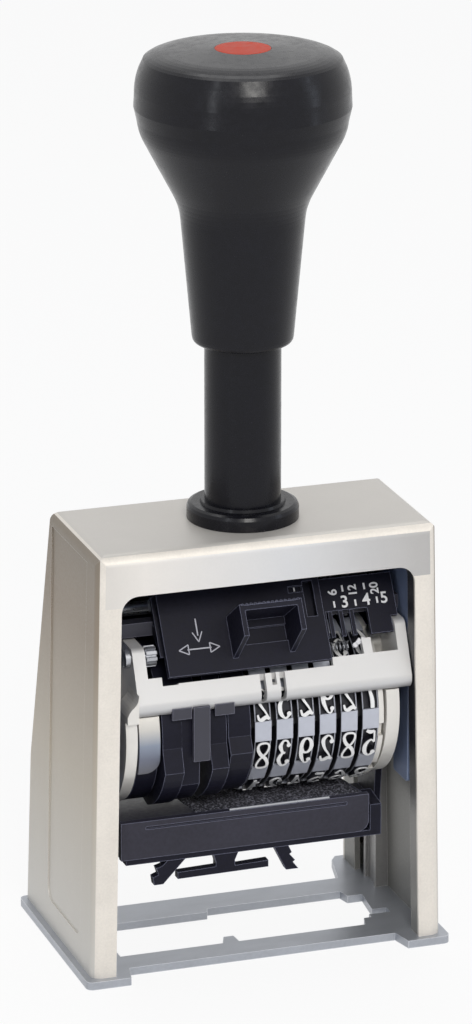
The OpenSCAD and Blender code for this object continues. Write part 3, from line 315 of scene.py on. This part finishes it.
# edge= gives the colour of a painted highlight along a material's edges
MATERIALS = {
    "nickel": finish("satin_nickel", (0.82, 0.77, 0.70), 0.3, 0.45, grain=2600, spread=0.09, bump=0.12,
                     bump_scale=3200, recolour=housing_painted_light, edge=(0.82, 0.79, 0.74), edge_gain=3.0),
    "foot_steel": finish("foot_steel", (0.40, 0.42, 0.46), 0.5, 0.36, grain=1500, stretch=(1, 3, 1),
                         edge=(0.78, 0.80, 0.84), edge_r=0.0002),
    "black_metal": finish("black_enamel", (0.005, 0.005, 0.008), 0.0, 0.24, spread=0.25, specular=0.22),
    "grip_black": finish("grip_black", (0.005, 0.005, 0.008), 0.0, 0.24, grain=700, spread=0.3, bump=0.04,
                         bump_scale=900, specular=0.24),
    "inlay_red": finish("inlay_red", (0.52, 0.045, 0.016), 0.0, 0.5, spread=0.15, specular=0.2),
    "blued_steel": finish("blued_steel", (0.17, 0.215, 0.34), 0.3, 0.45, grain=1100, spread=0.2,
                          edge=(0.45, 0.52, 0.70)),
    "bright_steel": finish("bright_steel", (0.78, 0.76, 0.72), 0.35, 0.38, grain=500, spread=0.05,
                           bump=0.02, bump_scale=600),
    "steel": finish("plain_steel", (0.46, 0.47, 0.50), 0.8, 0.32, grain=1500, spread=0.12),
    "dark_steel": finish("dark_steel", (0.04, 0.04, 0.055), 0.1, 0.45, edge=(0.22, 0.22, 0.29)),
    "black_plastic": finish("black_plastic", (0.008, 0.008, 0.016), 0.0, 0.45, grain=1300, spread=0.3,
                            bump=0.18, bump_scale=2600, edge=EDGE_HIGHLIGHT, specular=0.16),
}
CHANNEL = finish("channel_steel", (0.25, 0.245, 0.24), 0.4, 0.4, grain=1400, edge=(0.62, 0.61, 0.60))
# The cassette: black plastic made lighter, a painted highlight on its lit face
CASSETTE_PAINTED_LIGHT = finish("cassette_plastic", (0.030, 0.029, 0.042), 0.0, 0.42, grain=1300, spread=0.25, bump=0.14,
                  bump_scale=2600, edge=EDGE_HIGHLIGHT, specular=0.25)
BAR = finish("bar_steel", (0.70, 0.69, 0.68), 0.2, 0.42, grain=500, spread=0.04, bump=0.02, bump_scale=600,
             recolour=bar_painted_shade)
WHEEL = finish("wheel_steel", (0.52, 0.54, 0.61), 0.35, 0.36, grain=600, spread=0.08, bump=0.02,
               bump_scale=700, recolour=wheel_colour)
DRUM = finish("drum_steel", (0.78, 0.76, 0.72), 0.3, 0.4, grain=2400, spread=0.04, rough_spread=0.03,
              bump=0.02, bump_scale=2400, recolour=drum_painted_reflection)
TYPE = finish("type_metal", (0.84, 0.84, 0.84), 0.25, 0.4, grain=600, spread=0.06, bump=0.02,
              bump_scale=700, recolour=type_colour)
PAINT = finish("white_paint", (0.82, 0.82, 0.84), 0.0, 0.5, spread=0.06)
LINE = finish("arrow_line", (0.50, 0.50, 0.56), 0.0, 0.5, spread=0.1)
FOAM = finish("pad_foam", (0.05, 0.05, 0.06), 0.0, 0.75, grain=2200, spread=0.5, bump=0.7, bump_scale=2400,
              recolour=foam_colour)

# Nodes whose names start with these get their own material, not their slot's
OWN = {"type_wheel": WHEEL, "drum_cover": DRUM, "front_bracket": BAR, "guide_channel": CHANNEL,
       "pad_cassette": CASSETTE_PAINTED_LIGHT}

slot_of = {s["node"]: s["material_slot"] for s in frame["record"]["subparts"]}
for name, node in frame["nodes"].items():
    own = [material for start, material in OWN.items() if name.startswith(start)]
    material = own[0] if own else MATERIALS.get(slot_of[name])
    if material:  # all but ink_pad, which the foam piece replaces
        node.data.materials.clear()
        node.data.materials.append(material)


# ------------------------------------------------------------------ pieces
def piece(name, bm, material, body, smooth=None):
    mesh = bpy.data.meshes.new(name)
    bmesh.ops.recalc_face_normals(bm, faces=bm.faces)
    bm.to_mesh(mesh)
    bm.free()
    obj = bpy.data.objects.new(name, mesh)
    bpy.context.scene.collection.objects.link(obj)
    mesh.materials.append(material)
    if smooth:
        for p in mesh.polygons:
            p.use_smooth = True
        mesh.set_sharp_from_angle(angle=math.radians(smooth))
    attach(obj, body)
    return obj


def skin(bm, rings):
    """Faces between rings of points, and one at each end."""
    for a, b in zip(rings, rings[1:]):
        for k in range(len(a)):
            j = (k + 1) % len(a)
            bm.faces.new((a[k], a[j], b[j], b[k]))
    bm.faces.new(rings[0])
    bm.faces.new(rings[-1])


def curve_through(points, steps=5):
    """Smooth line through (x, y, half width) points."""
    ends = [points[0]] + list(points) + [points[-1]]
    line = []
    for i in range(1, len(ends) - 2):
        p0, p1, p2, p3 = ends[i - 1:i + 3]
        for k in range(steps):
            t = k / steps
            line.append(tuple(0.5 * (2 * b + (c - a) * t + (2 * a - 5 * b + 4 * c - d) * t * t
                                     + (3 * b - a - 3 * c + d) * t ** 3)
                              for a, b, c, d in zip(p0, p1, p2, p3)))
    line.append(tuple(points[-1]))
    return line


def add_stroke(bm, line, place, closed=False, flare=0.05):
    """Raised stroke with sloping flanks. place(x, y, up) gives the point; up is 1 on top, 0 at the root."""
    rings = []
    count = len(line)
    for i, (x, y, w) in enumerate(line):
        before = line[i - 1] if i or closed else line[i]
        after = line[(i + 1) % count] if i + 1 < count or closed else line[i]
        dx, dy = after[0] - before[0], after[1] - before[1]
        length = math.hypot(dx, dy) or 1.0
        nx, ny = -dy / length, dx / length
        rings.append([bm.verts.new(place(x + nx * o, y + ny * o, up))
                      for o, up in ((w + flare, 0), (w, 1), (-w, 1), (-w - flare, 0))])
    if not closed:
        skin(bm, rings)
        return
    for a, b in zip(rings, rings[1:] + rings[:1]):
        for k in range(4):
            bm.faces.new((a[k], a[(k + 1) % 4], b[(k + 1) % 4], b[k]))


def add_dot(bm, x, y, r, place, flare=0.05, sides=14):
    """Raised round dot with a sloping flank."""
    turns = [k * math.tau / sides for k in range(sides)]
    skin(bm, [[bm.verts.new(place(x + rr * math.cos(a), y + rr * math.sin(a), up)) for a in turns]
              for rr, up in ((r + flare, 0), (r, 1))])


def loop(cx, cy, rx, ry, thin, thick, n=26):
    """Closed oval stroke, thick at its sides."""
    return [(cx + rx * math.cos(k * math.tau / n), cy + ry * math.sin(k * math.tau / n),
             thin + (thick - thin) * abs(math.cos(k * math.tau / n))) for k in range(n)]


def eight(n=40):
    """Closed stroke that crosses itself, thickest on one diagonal."""
    pts = []
    for k in range(n):
        t = k * math.tau / n
        s = math.sin(2 * t)
        side = -math.copysign(abs(s) ** 0.75, s)
        thick = 0.16 + 0.12 * max(0.0, math.cos(t - 1.5 * math.pi)) ** 2
        pts.append((0.88 * side, 2.42 * math.cos(t), thick))
    return pts


# Half widths of thin, middle and full strokes
T, M, F = 0.14, 0.21, 0.30
# Type digits in a cell 2 units wide and 5 high: closed strokes, open strokes, round ends (x, y, r)
DIGITS = {
    0: ([loop(0, 0, 0.84, 2.38, T, F)], [], []),
    1: ([], [[(0.15, 2.5, M), (0.15, 0, F), (0.15, -2.4, M)],
             [(-0.6, 1.6, T), (-0.1, 1.9, T), (0.1, 2.5, M)],
             [(-0.55, -2.42, T), (0.15, -2.36, T), (0.85, -2.42, T)]], []),
    2: ([], [[(-0.62, 1.3, M), (-0.5, 2.1, T), (0.1, 2.45, T), (0.78, 1.7, F), (0.5, 0.3, M),
              (-0.3, -1.1, T), (-0.85, -2.2, T)],
             [(-0.9, -2.2, M), (-0.35, -1.9, F), (0.3, -2.25, F), (0.75, -2.15, M), (0.95, -1.4, T)]],
        [(-0.58, 1.35, 0.36)]),
    3: ([], [[(-0.6, 1.6, M), (-0.3, 2.35, T), (0.3, 2.4, T), (0.72, 1.5, F), (0.35, 0.45, M),
              (-0.1, 0.2, T)],
             [(-0.1, 0.2, T), (0.4, 0.1, M), (0.82, -1.0, F), (0.3, -2.3, M), (-0.35, -2.35, T),
              (-0.68, -1.6, M)]],
        [(-0.55, 1.6, 0.34), (-0.6, -1.6, 0.36)]),
    4: ([], [[(0.3, 2.5, M), (0.3, 0, F), (0.3, -2.4, M)],
             [(0.25, 2.4, T), (-0.4, 0.6, T), (-0.9, -0.9, T)],
             [(-0.95, -0.95, M), (0, -0.95, M), (0.95, -0.95, M)]], []),
    5: ([], [[(-0.5, 2.35, T), (0.1, 2.2, F), (0.75, 2.5, M)],
             [(-0.5, 2.35, T), (-0.55, 1.3, T), (-0.6, 0.3, T)],
             [(-0.6, 0.3, T), (0.0, 0.75, T), (0.75, -0.2, F), (0.7, -1.6, F), (0.0, -2.4, T),
              (-0.6, -1.9, M)]],
        [(-0.6, -1.75, 0.36)]),
    6: ([loop(0, -1.1, 0.8, 1.3, T, F)],
        [[(-0.8, -1.0, F), (-0.7, 0.7, F), (-0.1, 2.2, T), (0.4, 2.3, T), (0.62, 1.6, M)]],
        [(0.58, 1.7, 0.33)]),
    7: ([], [[(-0.85, 1.9, M), (-0.3, 2.4, F), (0.3, 2.1, M), (0.85, 2.4, T)],
             [(0.85, 2.4, T), (0.2, 0.6, M), (-0.15, -1.0, F), (-0.15, -2.4, F)]],
        [(-0.8, 1.8, 0.22)]),
    8: ([eight()], [], []),
    9: ([loop(0, 1.1, 0.8, 1.3, T, F)],
        [[(0.8, 1.0, F), (0.7, -0.7, F), (0.1, -2.2, T), (-0.4, -2.3, T), (-0.62, -1.6, M)]],
        [(-0.58, -1.7, 0.33)]),
}

# Digit in the front row and the one above it, for each wheel. The other eight fill the cells
# between in rising order, and start at another one on each wheel.
ROWS = [(8, 2), (3, 5), (9, 2), (2, 9), (8, 2), (5, 7)]
TYPE_W, TYPE_H, ROOT_R = 1.13, 1.1, 13.7

for i, (front, upper) in enumerate(ROWS, start=1):
    others = [d for d in range(10) if d not in (front, upper)]
    order = [front] + others[i:] + others[:i] + [upper]
    bm = bmesh.new()
    for k, digit in enumerate(order):
        centre = ROW_ANGLE + k * DIGIT_STEP

        def place(x, y, up, centre=centre, x0=wheel_x(i)):
            r = WHEEL_R if up else ROOT_R
            return on_rim(x0 - x * TYPE_W, centre - math.degrees(y * TYPE_H / WHEEL_R), r)

        closed, opened, dots = DIGITS[digit]
        for points in closed:
            add_stroke(bm, points, place, closed=True)
        for points in opened:
            add_stroke(bm, curve_through(points), place)
        for x, y, r in dots:
            add_dot(bm, x, y, r, place)
    piece(f"type_digits_{i}", bm, TYPE, f"type_wheel_{i}", smooth=35)


SCALE_N = -1.6  # face of the scale plate, off the cover's face
PAINT_T = 0.085  # height of the painted marks' tops over it
LETTER_N, LETTER_HALF_T, LETTER_SPREAD = 0.045, 0.04, 0.045  # numerals: middle, half thickness, boldening
FONT_SIZE = 1.38  # size of the built-in font for a numeral one high


def lettering(text, centre, height, turn):
    """Plain numerals lying on the scale plate; centre is (x, s) on the slope."""
    curve = bpy.data.curves.new("scale", "FONT")
    curve.body = text
    curve.size = height * FONT_SIZE
    curve.align_x = "CENTER"
    curve.align_y = "CENTER"
    curve.offset = LETTER_SPREAD
    curve.extrude = LETTER_HALF_T
    obj = bpy.data.objects.new("scale", curve)
    bpy.context.scene.collection.objects.link(obj)
    bpy.context.view_layer.update()
    mesh = bpy.data.meshes.new_from_object(obj.evaluated_get(bpy.context.evaluated_depsgraph_get()))
    bpy.data.objects.remove(obj)
    c, s = math.cos(turn), math.sin(turn)
    for v in mesh.vertices:
        x, y = v.co.x * c - v.co.y * s, v.co.x * s + v.co.y * c
        v.co = on_slope(centre[0] + x, centre[1] + y, SCALE_N + LETTER_N + v.co.z)
    return mesh


UPRIGHT, SIDEWAYS = 0.0, math.pi / 2
TICK_HALF_LENGTH, TICK_HALF_WIDTH = 0.55, 0.16
bm = bmesh.new()
for text, x, s, height, turn in (("3", 16.2, 9.8, 2.1, UPRIGHT), ("4", 20.1, 9.8, 2.1, UPRIGHT),
                                 ("5", 23.3, 9.8, 2.0, UPRIGHT), ("6", 14.4, 11.7, 1.6, SIDEWAYS),
                                 ("12", 18.0, 11.7, 1.5, SIDEWAYS), ("20", 21.9, 11.7, 1.5, SIDEWAYS)):
    mesh = lettering(text, (x, s), height, turn)
    bm.from_mesh(mesh)
    bpy.data.meshes.remove(mesh)
for x, s in ((14.3, 9.6), (18.1, 9.5), (22.0, 9.6), (16.2, 12.2), (20.1, 12.2)):
    add_stroke(bm, [(x, s - TICK_HALF_LENGTH, TICK_HALF_WIDTH), (x, s + TICK_HALF_LENGTH, TICK_HALF_WIDTH)],
               lambda a, b, up: on_slope(a, b, SCALE_N + PAINT_T * up), flare=0.0)
piece("scale_numbers", bm, PAINT, "carriage")

# Arrows on the cover: down, and both ways
bm = bmesh.new()


def on_cover(a, b, up):
    return on_slope(a, b, 0.09 * up - 0.01)


for line in ([(-11.0, 9.5, 0.1), (-11.0, 6.6, 0.1)],
             [(-11.9, 7.2, 0.08), (-11.0, 5.5, 0.08), (-10.2, 7.2, 0.08)],
             [(-13.2, 4.35, 0.1), (-9.0, 4.35, 0.1)],
             [(-13.0, 5.2, 0.08), (-14.7, 4.35, 0.08), (-13.0, 3.5, 0.08), (-13.0, 5.2, 0.08)],
             [(-9.2, 5.2, 0.08), (-7.5, 4.35, 0.08), (-9.2, 3.5, 0.08), (-9.2, 5.2, 0.08)]):
    for a, b in zip(line, line[1:]):
        add_stroke(bm, [a, b], on_cover, flare=0.02)
piece("cover_arrows", bm, LINE, "selector")

# Tick in the marker window
bm = bmesh.new()
add_stroke(bm, [(7.3, 12.35, 0.12), (7.3, 13.0, 0.12)],
           lambda a, b, up: on_slope(a, b, -0.5 + 0.15 * up), flare=0.0)
piece("marker_tick", bm, PAINT, "selector")

# Finger ribs along the grip's top edge: half rounds standing between two heights off the cover
RIBS, RIB_SPAN, RIB_S, RIB_N = 14, 9.8, 9.18, (6.2, 8.02)
half_turn = [j * math.pi / 6 for j in range(7)]
bm = bmesh.new()
for k in range(RIBS):
    x = RIB_SPAN * (k / (RIBS - 1) - 0.5)
    skin(bm, [[bm.verts.new(on_slope(x + 0.3 * math.cos(a), RIB_S + 0.32 * math.sin(a), n)) for a in half_turn]
              for n in RIB_N])
piece("grip_ribs", bm, MATERIALS["black_plastic"], "selector", smooth=50)


# Rounded pointer standing beside the bracket's tab
def on_pointer(x, s, up):
    return on_slope(x, s, -2.4 + 0.5 * up)


bm = bmesh.new()
for a, b in (((17.1, 2.5, 0.28), (18.0, 3.1, 0.5)), ((18.0, 3.1, 0.5), (18.6, 2.9, 0.55))):
    add_stroke(bm, [a, b], on_pointer)
add_dot(bm, 16.9, 2.35, 0.42, on_pointer)
piece("index_pointer", bm, PAINT, "carriage")

# Foam pad: the CAD block's space with a rough, open-pored top
PAD_TILT = math.radians(7.3)
PAD_FRONT, PAD_REAR = -12.2, 7.0  # along the pad, from below the shaft
PAD_TOP_R, PAD_UNDER_R = 15.32, 17.45  # from the shaft
PAD_COLUMNS, PAD_ROWS = 190, 120


def on_pad(x, along, out):
    c, s = math.cos(PAD_TILT), math.sin(PAD_TILT)
    return at(x, AXIS_Y + along * c - out * s, AXIS_Z - along * s - out * c)


low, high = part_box("ink_pad")
pad_x = [low.x / MM + (high.x - low.x) / MM * i / PAD_COLUMNS for i in range(PAD_COLUMNS + 1)]
pad_a = [PAD_FRONT + (PAD_REAR - PAD_FRONT) * j / PAD_ROWS for j in range(PAD_ROWS + 1)]
bm = bmesh.new()
grid = {}
for j, a in enumerate(pad_a):
    for i, x in enumerate(pad_x):
        edge = min(x - pad_x[0], pad_x[-1] - x, a - PAD_FRONT, PAD_REAR - a)
        drop = 0.35 * max(0.0, 1 - edge / 0.6) ** 2
        rough = 0.32 * max(0.0, noise.noise(Vector((x * 2.6, a * 2.6, 3.1)))) \
            + 0.2 * abs(noise.noise(Vector((x * 5.7, a * 5.7, 9.4))))
        grid[i, j] = bm.verts.new(on_pad(x, a, PAD_TOP_R + drop + rough))
for j in range(PAD_ROWS):
    for i in range(PAD_COLUMNS):
        bm.faces.new((grid[i, j], grid[i + 1, j], grid[i + 1, j + 1], grid[i, j + 1]))
rim = [(i, 0) for i in range(PAD_COLUMNS + 1)] + [(PAD_COLUMNS, j) for j in range(1, PAD_ROWS + 1)] \
    + [(i, PAD_ROWS) for i in range(PAD_COLUMNS - 1, -1, -1)] + [(0, j) for j in range(PAD_ROWS - 1, 0, -1)]
under = [bm.verts.new(on_pad(pad_x[i], pad_a[j], PAD_UNDER_R)) for i, j in rim]
for k in range(len(rim)):
    j = (k + 1) % len(rim)
    bm.faces.new((grid[rim[k]], grid[rim[j]], under[j], under[k]))
bm.faces.new(under)
foam = piece("pad_foam", bm, FOAM, "pad", smooth=50)
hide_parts("ink_pad")

# Return spring: the CAD coil's turns
WIRE_R, TURNS, COIL_STEPS, WIRE_SIDES = 0.45, 14, 28, 8
low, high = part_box("return_spring")
coil_r = (high.x - low.x) / 2 / MM - WIRE_R
z0, z1 = low.z / MM + WIRE_R, high.z / MM - WIRE_R
wire = [(WIRE_R * math.cos(a), WIRE_R * math.sin(a))
        for a in [j * math.tau / WIRE_SIDES for j in range(WIRE_SIDES)]]
bm = bmesh.new()
rings = []
for k in range(TURNS * COIL_STEPS + 1):
    t = k * math.tau / COIL_STEPS
    z = z0 + (z1 - z0) * k / (TURNS * COIL_STEPS)
    rings.append([bm.verts.new(at((coil_r + out) * math.cos(t), (coil_r + out) * math.sin(t), z + up))
                  for out, up in wire])
skin(bm, rings)
spring = piece("return_spring_coil", bm, MATERIALS["steel"], "housing", smooth=60)
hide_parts("return_spring")
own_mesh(spring)

# Bright strip standing on the cassette's front edge
STRIP_X = (-6.5, 11.4)
section = [(-12.35, 28.25), (-11.95, 28.25), (-11.95, 28.5), (-12.05, 28.6), (-12.25, 28.6), (-12.35, 28.5)]
bm = bmesh.new()
skin(bm, [[bm.verts.new(at(x, y, z)) for y, z in section] for x in STRIP_X])
piece("cassette_strip", bm, MATERIALS["steel"], "pad")

# Rounded edges on the sheet parts, width in millimetres
for name, width in (("housing_shell", 0.25), ("front_bracket", 0.12), ("base_plate", 0.12)):
    bevel = frame["nodes"][name].modifiers.new("soft_edges", "BEVEL")
    bevel.width = width * MM
    bevel.segments = 2
    bevel.limit_method = "ANGLE"
    bevel.angle_limit = math.radians(40)


# ------------------------------------------------------------------ floor, light, world
FLOOR_GLOW = 0.90  # share of plain white in the floor as it is seen; the rest keeps the shadow
WORLD_LIGHT = 0.38


def seen_directly(nodes, links):
    """1 for camera, glossy and transmission rays, 0 for the rays that light the object."""
    path = nodes.new("ShaderNodeLightPath")
    return maths(nodes, links, "MAXIMUM", path.outputs["Is Camera Ray"],
                 maths(nodes, links, "MAXIMUM", path.outputs["Is Glossy Ray"],
                       path.outputs["Is Transmission Ray"]))


def blend_shaders(nodes, links, share, a, b, output):
    n = nodes.new("ShaderNodeMixShader")
    links.new(share, n.inputs[0])
    links.new(a.outputs[0], n.inputs[1])
    links.new(b.outputs[0], n.inputs[2])
    links.new(n.outputs[0], output.inputs["Surface"])


def floor_material():
    m, nodes, links, bsdf = new_material("pale_floor")
    speckle = add(nodes, "ShaderNodeTexNoise", in_Scale=40.0, in_Detail=3.0)
    pale = ramp(nodes, links, speckle.outputs["Fac"], [(0.3, (0.93, 0.93, 0.93)), (0.7, (0.96, 0.96, 0.96))])
    links.new(pale, bsdf.inputs["Base Color"])
    bsdf.inputs["Roughness"].default_value = 0.9
    glow = add(nodes, "ShaderNodeEmission", in_Color=(1, 1, 1, 1), in_Strength=1.0)
    seen = maths(nodes, links, "MULTIPLY", seen_directly(nodes, links), FLOOR_GLOW)
    blend_shaders(nodes, links, seen, bsdf, glow, nodes["Material Output"])
    return m


bm = bmesh.new()
bmesh.ops.create_grid(bm, x_segments=8, y_segments=8, size=3.0)
mesh = bpy.data.meshes.new("floor")
bm.to_mesh(mesh)
bm.free()
floor = bpy.data.objects.new("floor", mesh)
bpy.context.scene.collection.objects.link(floor)
mesh.materials.append(floor_material())


MIDDLE = (0, 0, 0.07)


def lamp(name, place, size, watts, colour=(1, 1, 1), size_y=None):
    """Area lamp that faces the middle of the object."""
    data = bpy.data.lights.new(name, "AREA")
    data.shape = "RECTANGLE" if size_y else "SQUARE"
    data.size = size
    if size_y:
        data.size_y = size_y
    data.energy = watts
    data.color = colour
    obj = bpy.data.objects.new(name, data)
    bpy.context.scene.collection.objects.link(obj)
    obj.location = place
    obj.rotation_euler = (Vector(MIDDLE) - Vector(place)).to_track_quat("-Z", "Y").to_euler()


lamp("key", (-0.08, -0.76, 0.58), 0.30, 3.4, (1.0, 0.98, 0.94))
lamp("left_strip", (-0.62, -0.52, 0.32), 0.06, 0.7, (0.90, 0.94, 1.0), size_y=0.7)
lamp("right_strip", (0.75, -0.40, 0.25), 0.12, 0.5, (0.75, 0.84, 1.0), size_y=0.6)
lamp("above", (0.05, 0.25, 0.80), 0.40, 1.2)

world = bpy.data.worlds.new("studio")
bpy.context.scene.world = world
world.use_nodes = True
wn, wl = world.node_tree.nodes, world.node_tree.links
back = wn["Background"]
back.inputs["Color"].default_value = (0.93, 0.95, 1.0, 1)
back.inputs["Strength"].default_value = WORLD_LIGHT
white = add(wn, "ShaderNodeBackground", in_Color=(1, 1, 1, 1), in_Strength=1.0)
blend_shaders(wn, wl, seen_directly(wn, wl), back, white, wn["World Output"])

bpy.context.scene.view_settings.view_transform = "Standard"
